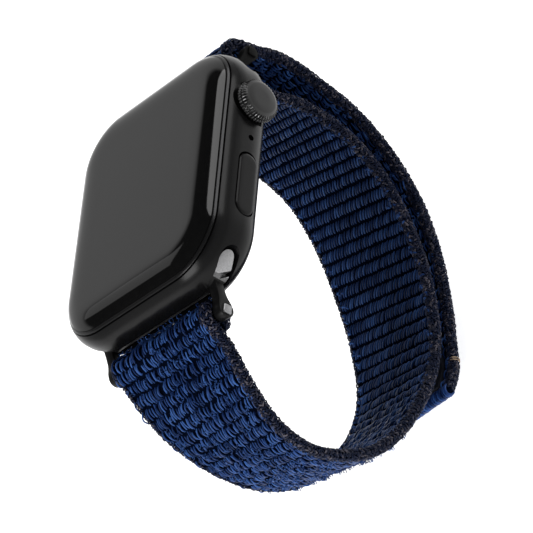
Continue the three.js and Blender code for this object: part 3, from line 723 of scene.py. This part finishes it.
# ---- yarns
def tubes(paths, half_width, half_height, flat_to, sides=6):
    """Points and quads of closed tubes along paths (yarn, point, xyz). A tube is half_height thick
    along flat_to, and half_width square to it."""
    along = np.gradient(paths, axis=1)
    along /= np.linalg.norm(along, axis=-1, keepdims=True)
    side = np.cross(along, flat_to)
    side /= np.linalg.norm(side, axis=-1, keepdims=True)
    up = np.cross(side, along)
    count, steps = paths.shape[:2]
    taper = np.ones(steps)
    taper[[0, -1]] = 0.55
    angles = np.arange(sides) * 2 * math.pi / sides
    width = (np.broadcast_to(half_width, (count,))[:, None] * taper)[:, :, None, None]
    height = (np.broadcast_to(half_height, (count,))[:, None] * taper)[:, :, None, None]
    points = (paths[:, :, None] + side[:, :, None] * np.cos(angles)[:, None] * width
              + up[:, :, None] * np.sin(angles)[:, None] * height)
    ring = np.arange(sides)
    following = (ring + 1) % sides
    quads = [np.stack([k * sides + ring, k * sides + following, (k + 1) * sides + following,
                       (k + 1) * sides + ring], -1) for k in range(steps - 1)]
    last = (steps - 1) * sides
    caps = []
    for k in range(1, sides - 2, 2):
        caps += [[0, k + 2, k + 1, k], [last, last + k, last + k + 1, last + k + 2]]
    one = np.concatenate(quads + [np.array(caps)])
    shifts = np.arange(count) * steps * sides
    return points.reshape(-1, 3), (one[None] + shifts[:, None, None]).reshape(-1, 4)


def band_yarns(name, look, s, across, lift, half_width, half_height, sides=6):
    """A piece of yarns whose points are given on the band, and spread to arrays (yarn, point)."""
    paths = BAND.place(s, across, lift)
    raised = BAND.place(s, across, lift + 0.2)
    points, quads = tubes(paths, half_width, half_height, raised - paths, sides)
    return add_piece(name, points, quads, look)


def rib_grid(start, end):
    """Row centres of the ribs between two places on the band."""
    return (np.arange(math.ceil(start / PITCH - 0.5), math.ceil(end / PITCH - 0.5)) + 0.5) * PITCH


def scatter(rows, columns, stagger=0.0):
    """Every yarn's place along and across the band, with odd rows shifted across by stagger."""
    s, across = np.meshgrid(rows, columns, indexing="ij")
    odd = np.round(s / PITCH - 0.5) % 2
    return s.ravel(), (across + (odd - 0.5) * stagger).ravel()


def wear(s):
    """How much more uneven the yarns are, along the band."""
    return (1 + FRAY["amount"] * np.exp(-((s - FRAY["at"]) / FRAY["reach"]) ** 2))[:, None]


def make_ribs(name, start, end):
    """The neat face: short plump yarns side by side, each slanting over one rib."""
    columns = np.arange(-WOVEN_HALF, WOVEN_HALF, RIB["gap"])
    s, across = scatter(rib_grid(start, end), columns)
    count = len(s)
    t = np.linspace(0, 1, 7)
    reach = RIB["reach"] * RNG.uniform(0.94, 1.06, count)[:, None]
    worn = wear(s)
    crest = RNG.uniform(*RIB["crest"], count)[:, None]
    slant = RIB["slant"] + RNG.normal(0.0, 0.06, count)[:, None] * worn
    s = s[:, None] + RNG.normal(0, 0.05, count)[:, None] * worn + reach * (2 * t - 1)
    across = across[:, None] + RNG.normal(0, 0.045, count)[:, None] * worn + slant * (2 * t - 1)
    lift = 0.2 + (crest + RNG.normal(0, 0.03, count)[:, None] * worn) * np.sin(math.pi * t) ** 0.6
    return band_yarns(name, "rib_yarn", s, across, lift, RNG.uniform(*RIB["half_width"], count), 0.19)


def make_knots(name, start, end):
    """Where each rib turns back at the selvage, its yarns make small uneven knots."""
    rows = np.repeat(rib_grid(start, end), 8)
    count = len(rows)
    sign = np.tile(np.repeat([1.0, -1.0], 4), count // 8)[:, None]
    t = np.linspace(0, 1, 5)
    turn = RNG.uniform(-1.2, 1.2, count)[:, None]
    s = rows[:, None] + RNG.uniform(-0.7, 0.7, count)[:, None] + 0.34 * np.sin(turn) * (2 * t - 1)
    inward = np.abs(RNG.normal(0, 0.8, count))[:, None]
    across = sign * (CORE["edge_centre"] - inward + 0.34 * np.cos(turn) * (2 * t - 1))
    lift = 0.6 + RNG.uniform(0.18, 0.36, count)[:, None] * np.sin(math.pi * t)
    return band_yarns(name, "pile_yarn", s, across, lift, 0.16, 0.15)


def make_pile(name, start, end, tape_start):
    """The grippy face: rows of loops that stand up and lean. Past tape_start they keep to the
    margins beside the hook tape."""
    columns = np.arange(-WOVEN_HALF - 0.5, WOVEN_HALF, PILE["gap"])
    s, across = scatter(rib_grid(start, end), columns, 0.16)
    kept = (s < tape_start) | (np.abs(across) > TAPE["half"] + 0.3)
    s, across = s[kept], across[kept]
    count = len(s)
    t = np.linspace(0, 1, 8)
    reach = RNG.uniform(*PILE["reach"], count)[:, None]
    crest = RNG.gamma(16.0, 0.037, count).clip(*PILE["crest"])[:, None]
    lean = RNG.normal(0.0, 0.14, count)[:, None]
    slant = RNG.normal(PILE["slant"], 0.14, count)[:, None]
    arch = np.sin(math.pi * t)
    s = s[:, None] + RNG.normal(0, 0.17, count)[:, None] + reach * (2 * t - 1)
    across = across[:, None] + RNG.normal(0, 0.06, count)[:, None] + lean * arch + slant * (2 * t - 1)
    lift = -(0.15 + crest * arch ** 0.7)
    return band_yarns(name, "pile_yarn", s, across, lift, RNG.uniform(*PILE["half_width"], count), 0.13)


def make_picots(name, start, end):
    """Single yarns that stand clear of the pile as small open rings."""
    count = round((end - start) * 2 * WOVEN_HALF * 0.3)
    turn = np.radians(np.linspace(-155, 155, 9))
    radius = RNG.uniform(0.26, 0.38, count)[:, None]
    facing = RNG.normal(0, 0.6, count)[:, None]
    s = RNG.uniform(start, end, count)[:, None] + radius * np.sin(turn) * np.cos(facing)
    across = RNG.uniform(-WOVEN_HALF, WOVEN_HALF, count)[:, None] + radius * np.sin(turn) * np.sin(facing)
    lift = -(RNG.uniform(0.6, 0.95, count)[:, None] + radius * (1 - np.cos(turn)))
    return band_yarns(name, "pile_yarn", s, across, lift, 0.09, 0.09, 5)


def round_edge(u, raised, sign):
    """Across and lift of a place u millimetres round the band's edge from its middle."""
    bend = EDGE["bend"]
    turn = np.clip(u / bend, -math.pi / 2, math.pi / 2)
    flat = np.maximum(np.abs(u) - bend * math.pi / 2, 0)
    across = EDGE["centre"] + (bend + raised) * np.cos(turn) - flat
    return sign * across, (EDGE["half"] + raised) * np.sin(turn)


def make_selvage(name, start, end):
    """Charcoal stitches knitted round both edges, leaning one way and then the other. On the far
    side they keep closer to the edge."""
    rows = np.arange(math.ceil(start / EDGE["stitch"]), math.ceil(end / EDGE["stitch"])) * EDGE["stitch"]
    places = [(s, number, sign) for s in rows for sign, most in ((1, 5), (-1, 3))
              for number in range(-most, most + 1)]
    s, number, sign = np.array(places, float).T[:, :, None]
    count = len(s)
    t = np.linspace(0, 1, 5)
    way = np.where(number % 2 == 0, 1.0, -1.0)
    length = RNG.uniform(0.2, 0.36, (count, 1))
    turn = way * RNG.uniform(0.35, 1.2, (count, 1))
    scallop = 0.07 * np.cos(2 * math.pi * s / (PITCH / 2))
    s = s + RNG.normal(0, 0.06, (count, 1)) + length * np.cos(turn) * (2 * t - 1)
    u = number * EDGE["column"] + RNG.normal(0, 0.05, (count, 1)) + length * np.sin(turn) * (2 * t - 1)
    raised = scallop - 0.1 + RNG.uniform(0.0, 0.12, (count, 1)) + 0.14 * np.sin(math.pi * t)
    across, lift = round_edge(u, raised, sign)
    return band_yarns(name, "selvage_yarn", s, across, lift, RNG.uniform(0.09, 0.15, count), 0.11, 5)


def make_core(name, start, end):
    """The ground weave under the yarns: a closed strip, a little thicker at its edges."""
    stations = np.linspace(start, end, max(2, round((end - start) / CORE["step"])) + 1)
    turn = np.radians(np.linspace(-90, 90, 7))
    edge = CORE["edge_centre"] + CORE["edge_bend"] * np.cos(turn)
    edge_lift = CORE["edge_half"] * np.sin(turn)
    flat = np.linspace(CORE["flat_half"], -CORE["flat_half"], 7)
    across = np.concatenate([edge, flat, -edge[::-1], -flat])
    lift = np.concatenate([edge_lift, np.full(7, CORE["half"]), edge_lift[::-1], np.full(7, -CORE["half"])])
    rings = BAND.place(stations[:, None], across[None], lift[None])
    # The ground's near-black colour is painted shade for the gaps between the yarns.
    return sharpen(add_piece(name, *loft(rings), "ground_weave"), 50)


def dress(stretch, start, end, settle, parts=1, tape_start=math.inf):
    """All the fabric of one stretch of the band, in parts, each given to settle(piece)."""
    core = make_core(f"{stretch}_ground", start, end)
    yarns = []
    edges = np.linspace(start, end, parts + 1)
    for number, (low, high) in enumerate(zip(edges[:-1], edges[1:])):
        yarns.append(make_ribs(f"{stretch}_ribs_{number}", low, high))
        yarns.append(make_knots(f"{stretch}_knots_{number}", low, high))
        yarns.append(make_pile(f"{stretch}_pile_{number}", low, high, tape_start))
        yarns.append(make_picots(f"{stretch}_picots_{number}", low, min(high, tape_start)))
        yarns.append(make_selvage(f"{stretch}_selvage_{number}", low, high))
    for piece in [core, *yarns]:
        settle(piece)
    return core, yarns


def declare(core, fabric, length):
    """Takes a stretch of the band's ground weave and its other fabric, and only turns the fabric into a
    list.
    """
    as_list(fabric)


# ---- hook tape, tail end and stitches
def make_hooks(start, end):
    """Tape on the tail's inner face, with rows of small bent hooks."""
    stations = np.linspace(start, end, 61)
    across = np.linspace(-TAPE["half"], TAPE["half"], 9)
    front = BAND.place(stations[:, None], across[None, ::-1], TAPE["front"])
    back = BAND.place(stations[:, None], across[None], TAPE["back"])
    tape = sharpen(add_piece("hook_tape", *loft(np.concatenate([back, front], 1)), "hook_tape"))
    rows = np.arange(start + 0.6, end - 0.4, TAPE["row_gap"])
    columns = np.arange(-10, 11) * TAPE["column_gap"]
    s, across = (grid.ravel()[:, None] for grid in np.meshgrid(rows, columns, indexing="ij"))
    forward, rise = np.array([[0, 0], [0.02, 0.16], [0.1, 0.28], [0.22, 0.3], [0.28, 0.2]]).T
    way = np.where(np.round(across / TAPE["column_gap"]) % 2 == 0, 1.0, -1.0)
    hooks = band_yarns("hook_rows", "hook_tape", s + forward * way, across, TAPE["front"] + 0.04 - rise,
                       0.07, 0.07, 4)
    for piece in (tape, hooks):
        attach(piece, "tail")
    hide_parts("hook_patch")
    return [tape, hooks]


def make_tail_end():
    """The tail's end is bound by yarns wrapped round a cord."""
    end = BAND.tail_end - TAIL_TRIM
    columns = np.arange(-11.1, 11.15, 0.5)
    turn = np.radians(np.linspace(-115, 115, 9))
    count = len(columns)
    s = end - 0.1 + 1.1 * np.cos(turn) + RNG.normal(0, 0.04, count)[:, None]
    lift = 0.9 * np.sin(turn) + RNG.normal(0, 0.03, count)[:, None]
    across = columns[:, None] + RNG.normal(0, 0.03, count)[:, None] + 0.1 * np.sin(turn)
    wraps = band_yarns("tail_end_wraps", "pile_yarn", s, across, lift, RNG.uniform(0.22, 0.27, count), 0.2)
    cord = band_yarns("tail_end_cord", "ground_weave", end + 0.1, np.linspace(-11.3, 11.3, 25)[None], 0.0,
                      0.65, 0.6, 10)
    for piece in (wraps, cord):
        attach(piece, "tail")
    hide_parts("tail_binding")
    return [wraps, cord]


def make_tack():
    """A small tan bar tack in the tail's crown-side selvage, where the hook tape is sewn on."""
    s = BAND.tail_end - TAIL_TRIM - 6.2 + np.array([[-0.2], [0.2]])
    across, lift = round_edge(np.linspace(-0.9, 0.9, 6), 0.22, 1.0)
    tack = band_yarns("tail_tack", "tan_thread", s, across, lift, 0.11, 0.1, 5)
    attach(tack, "tail")


def make_band():
    loop_core, loop_yarns = dress("loop", 0.0, BAND.fold_start, lambda piece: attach(piece, "lower_band"), 3)
    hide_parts("strap_loop")
    fold_core, fold_yarns = dress("fold", BAND.fold_start, BAND.fold_end,
                                  lambda piece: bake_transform(piece))
    end = BAND.tail_end - TAIL_TRIM
    tape_start = BAND.fold_end + TAPE["start_share"] * (end - BAND.fold_end)
    tail_core, tail_yarns = dress("tail", BAND.fold_end, end, lambda piece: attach(piece, "tail"),
                                  tape_start=tape_start)
    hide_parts("strap_tail")
    trims = make_hooks(tape_start, end - 0.8) + make_tail_end()
    make_tack()
    declare(loop_core, loop_yarns, BAND.fold_start)
    tail_fabric = [*tail_yarns, *trims, fold_core, *fold_yarns]
    declare(tail_core, tail_fabric, end - BAND.fold_end)


# ---- carried-over pieces
NODE_LOOKS = {
    "seam_black": ["display_panel"],
    "rubber": ["display_seal", "crown_seal"],
    "back_glass": ["back_cover", "sensor_crystal"],
    "board": ["sensor_board", "logic_board"],
    "foil": ["battery"],
    "copper": ["charging_coil", "display_flex"],
    "plastic": ["photodiode_ring", "processor_package", "speaker", "encoder_sensor"],
    "steel": ["led_cluster", "haptic_motor", "microphone", "crown_shaft", "crown_collar", "encoder_disc",
              "crown_sleeve", "crown_switch", "crown_bracket", "side_button_plunger", "side_button_switch",
              "side_button_bracket", "lower_latch", "upper_latch"],
    "connector_metal": ["lower_bar", "upper_bar", "lower_release_button", "upper_release_button"],
}


def finish_nodes():
    """Gives every CAD node that still shows its material."""
    for look, names in NODE_LOOKS.items():
        for name in names:
            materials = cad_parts[name].data.materials
            materials.clear()
            materials.append(LOOKS[look])


# ---- stage
def area_light(name, place, aim, size, power):
    data = bpy.data.lights.new(name, "AREA")
    data.shape = "RECTANGLE"
    data.size, data.size_y = size
    data.energy = power
    light = bpy.data.objects.new(name, data)
    light.location = place
    light.rotation_euler = (Vector(aim) - Vector(place)).to_track_quat("-Z", "Y").to_euler()
    bpy.context.scene.collection.objects.link(light)


def make_world():
    """A studio that is bright near the horizon and dark overhead."""
    world = bpy.data.worlds.new("studio")
    world.use_nodes = True
    nodes, links = world.node_tree.nodes, world.node_tree.links
    direction = nodes.new("ShaderNodeSeparateXYZ")
    links.new(nodes.new("ShaderNodeTexCoord").outputs["Generated"], direction.inputs["Vector"])
    height = nodes.new("ShaderNodeMapRange")
    height.inputs["From Min"].default_value = -1
    links.new(direction.outputs["Z"], height.inputs["Value"])
    light = ramp(nodes, links, height.outputs["Result"],
                 [(0.5, (0.75, 0.75, 0.75)), (0.62, (0.66, 0.66, 0.66)), (0.755, (0.58, 0.58, 0.58)),
                  (0.80, (0.02, 0.02, 0.02)), (1.0, (0.02, 0.02, 0.02))])
    links.new(light, nodes["Background"].inputs["Color"])
    bpy.context.scene.world = world


def make_floor():
    """A pale floor that glows a little, and less on the crown side."""
    bpy.ops.mesh.primitive_plane_add(size=6, location=(0, 0, CAD_BOX[0][2] - 0.0005))
    floor = bpy.context.object
    floor.name = "floor"
    nodes, links, shader = new_material("floor", (0.93, 0.93, 0.93), 0.9)
    tone = ramp(nodes, links, noise(nodes, links, 3), [(0.3, (0.92, 0.92, 0.92)), (0.7, (0.95, 0.95, 0.95))])
    links.new(tone, shader.inputs["Base Color"])
    links.new(tone, shader.inputs["Emission Color"])
    side = nodes.new("ShaderNodeSeparateXYZ")
    links.new(nodes.new("ShaderNodeTexCoord").outputs["Object"], side.inputs["Vector"])
    glow = nodes.new("ShaderNodeMapRange")
    glow.interpolation_type = "SMOOTHSTEP"
    for socket, value in (("From Min", 0.035), ("From Max", 0.14), ("To Min", 0.8), ("To Max", 0.15)):
        glow.inputs[socket].default_value = value
    links.new(side.outputs["X"], glow.inputs["Value"])
    links.new(glow.outputs["Result"], shader.inputs["Emission Strength"])
    floor.data.materials.append(LOOKS["floor"])


def make_stage():
    bpy.context.scene.view_settings.view_transform = "Standard"
    make_world()
    make_floor()
    area_light("key", (-0.1, -0.75, 0.45), (0, 0, -0.02), (0.5, 0.5), 6)
    area_light("back_panel", (0.27, 0.44, 0.45), (0, 0, 0), (0.48, 0.35), 1.25)
    area_light("side_panel", (0.51, 0.42, 0.24), (0, 0, 0), (0.3, 0.16), 0.6)
    area_light("far_panel", (-0.46, 0.2, 0.48), (0, 0, 0), (0.22, 0.2), 0.08)


def make_camera():
    data = bpy.data.cameras.new("camera")
    data.lens = 218.5
    data.clip_start = 0.01
    camera = bpy.data.objects.new("camera", data)
    camera.location = (0.3278, -0.2994, 0.2349)
    aim = Vector((0.0054, -0.0061, -0.0101))
    roll = Quaternion((0, 0, 1), math.radians(-60.9))
    facing = (aim - camera.location).to_track_quat("-Z", "Y")
    camera.rotation_euler = (facing @ roll).to_euler()
    bpy.context.scene.collection.objects.link(camera)
    bpy.context.scene.camera = camera


make_camera()
make_stage()
make_case()
make_bezel()
make_crystal()
make_crown()
make_side_button()
make_connector("lower", np.asarray, "connector_metal", "bare_metal")
# The upper connector's body and bar studs are painted near-black as shade; the lower connector is dark metal
# with bare-metal studs.
make_connector("upper", half_turn, "seam_black", "seam_black")
make_springs("lower", np.asarray)
make_springs("upper", half_turn)
make_band()
finish_nodes()

bpy.context.view_layer.update()
